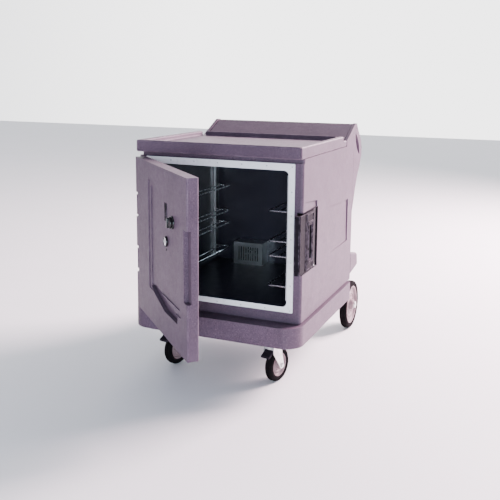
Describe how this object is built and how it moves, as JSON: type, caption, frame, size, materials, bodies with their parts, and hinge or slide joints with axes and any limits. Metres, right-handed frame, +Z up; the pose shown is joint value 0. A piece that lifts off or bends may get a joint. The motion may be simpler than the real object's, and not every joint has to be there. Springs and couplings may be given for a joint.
{
  "type": "insulated food carrier",
  "caption": "Low insulated food holding cabinet on wheels: moulded double-wall body with hinged door, spring latch, pan ledges, rear push rail, fan heater, castors and fixed rear wheels.",
  "frame": {"origin": "on the floor, under the middle of the whole carrier's box with the door standing 45 degrees open", "axes": "+X to the right seen from the front, +Y from the door towards the push rail, +Z up"},
  "size_m": [0.8, 1.5996, 1.101],
  "materials": {
    "moulded_plastic": "rotationally moulded polyethylene, fine granite fleck, soft sheen",
    "latch_plastic": "dark moulded nylon, satin",
    "trim_white": "white coated metal strip, satin",
    "stainless": "brushed stainless steel",
    "chrome_wire": "plated wire",
    "liner_dark": "dark smooth liner, low gloss",
    "insulation": "rigid polyurethane foam",
    "heater_sheath": "oxidised heater sheath",
    "dark_metal": "black coated metal",
    "black_gloss": "glossy black plastic",
    "lamp_lens": "amber-red lens",
    "gasket_rubber": "matt silicone rubber",
    "nylon": "natural nylon",
    "zinc_plate": "bright zinc plating",
    "wheel_disc": "pale moulded wheel disc",
    "tyre_rubber": "grey-black rubber tread"
  },
  "bodies": {
    "cabinet": {"cabinet_shell": "moulded_plastic", "top_tray": "moulded_plastic", "console_hood": "moulded_plastic", "push_rail": "moulded_plastic", "rear_bumper": "moulded_plastic", "base_bumper": "moulded_plastic", "cabinet_liner": "liner_dark", "foam_core": "insulation", "opening_trim": "trim_white", "trim_screws": "stainless", "hinge_knuckles": "moulded_plastic", "hinge_rod": "stainless", "pan_ledges_left": "chrome_wire", "pan_ledges_right": "chrome_wire", "rack_posts": "stainless", "fan_cover": "stainless", "heater_element": "heater_sheath", "fan_motor": "dark_metal", "service_panel": "stainless", "panel_screws": "stainless", "control_plate": "latch_plastic", "pilot_lamp": "lamp_lens", "power_inlet": "black_gloss", "latch_housing": "latch_plastic", "latch_pin": "stainless", "latch_spring": "stainless", "caster_plates": "zinc_plate", "caster_bolts": "zinc_plate", "axle_brackets": "zinc_plate", "rear_axle": "zinc_plate", "axle_caps": "zinc_plate"},
    "door": {"door_shell": "moulded_plastic", "door_foam": "insulation", "door_liner": "liner_dark", "door_gasket": "gasket_rubber", "door_bushes": "nylon", "door_slot_insert": "latch_plastic", "door_thermometer": "stainless", "vent_base": "black_gloss"},
    "vent_dial": {"vent_knob": "black_gloss"},
    "latch": {"latch_lever": "latch_plastic"},
    "fan": {"fan_blade": "stainless"},
    "thermostat": {"thermostat_knob": "black_gloss"},
    "switch": {"power_switch": "black_gloss"},
    "rear_wheel_left": {"rear_hub_left": "wheel_disc", "rear_tyre_left": "tyre_rubber"},
    "rear_wheel_right": {"rear_hub_right": "wheel_disc", "rear_tyre_right": "tyre_rubber"},
    "caster_left": {"caster_fork_left": "zinc_plate", "caster_axle_left": "zinc_plate"},
    "caster_wheel_left": {"caster_hub_left": "wheel_disc", "caster_tyre_left": "tyre_rubber"},
    "brake_left": {"brake_pedal_left": "latch_plastic"},
    "caster_right": {"caster_fork_right": "zinc_plate", "caster_axle_right": "zinc_plate"},
    "caster_wheel_right": {"caster_hub_right": "wheel_disc", "caster_tyre_right": "tyre_rubber"},
    "brake_right": {"brake_pedal_right": "latch_plastic"}
  },
  "joints": [
    {"name": "door_swing", "type": "hinge", "parent": "cabinet", "child": "door", "pos_m": [-0.361, -0.25921, 0.64], "axis": [0, 0, 1], "range_deg": [-135, 45]},
    {"name": "vent_turn", "type": "hinge", "parent": "door", "child": "vent_dial", "pos_m": [0.00882, -0.65024, 0.78], "axis": [-0.7071, -0.7071, 0], "range_deg": [0, 90]},
    {"name": "latch_pull", "type": "hinge", "parent": "cabinet", "child": "latch", "pos_m": [0.376, -0.04721, 0.637], "axis": [0, 0, 1], "range_deg": [0, 20], "stiffness_Nm_per_rad": 4, "springref_deg": -6.88},
    {"name": "fan_spin", "type": "hinge", "parent": "cabinet", "child": "fan", "pos_m": [-0.11, 0.42279, 0.422], "axis": [0, 1, 0], "continuous": true},
    {"name": "thermostat_turn", "type": "hinge", "parent": "cabinet", "child": "thermostat", "pos_m": [0.195, 0.55979, 0.592], "axis": [0, 1, 0], "range_deg": [0, 270]},
    {"name": "switch_rock", "type": "hinge", "parent": "cabinet", "child": "switch", "pos_m": [0.293, 0.55829, 0.592], "axis": [1, 0, 0], "range_deg": [0, 5]},
    {"name": "rear_spin_left", "type": "hinge", "parent": "cabinet", "child": "rear_wheel_left", "pos_m": [-0.357, 0.67279, 0.127], "axis": [1, 0, 0], "continuous": true},
    {"name": "rear_spin_right", "type": "hinge", "parent": "cabinet", "child": "rear_wheel_right", "pos_m": [0.357, 0.67279, 0.127], "axis": [1, 0, 0], "continuous": true},
    {"name": "caster_swivel_left", "type": "hinge", "parent": "cabinet", "child": "caster_left", "pos_m": [-0.25, -0.19421, 0.168], "axis": [0, 0, 1], "continuous": true},
    {"name": "caster_spin_left", "type": "hinge", "parent": "caster_left", "child": "caster_wheel_left", "pos_m": [-0.2421, -0.15704, 0.076], "axis": [0.9781, -0.2079, 0], "continuous": true},
    {"name": "brake_press_left", "type": "hinge", "parent": "caster_left", "child": "brake_left", "pos_m": [-0.25416, -0.21378, 0.156], "axis": [0.9781, -0.2079, 0], "range_deg": [0, 10]},
    {"name": "caster_swivel_right", "type": "hinge", "parent": "cabinet", "child": "caster_right", "pos_m": [0.25, -0.19421, 0.168], "axis": [0, 0, 1], "continuous": true},
    {"name": "caster_spin_right", "type": "hinge", "parent": "caster_right", "child": "caster_wheel_right", "pos_m": [0.2579, -0.15704, 0.076], "axis": [0.9781, -0.2079, 0], "continuous": true},
    {"name": "brake_press_right", "type": "hinge", "parent": "caster_right", "child": "brake_right", "pos_m": [0.24584, -0.21378, 0.156], "axis": [0.9781, -0.2079, 0], "range_deg": [0, 10]}
  ]
}
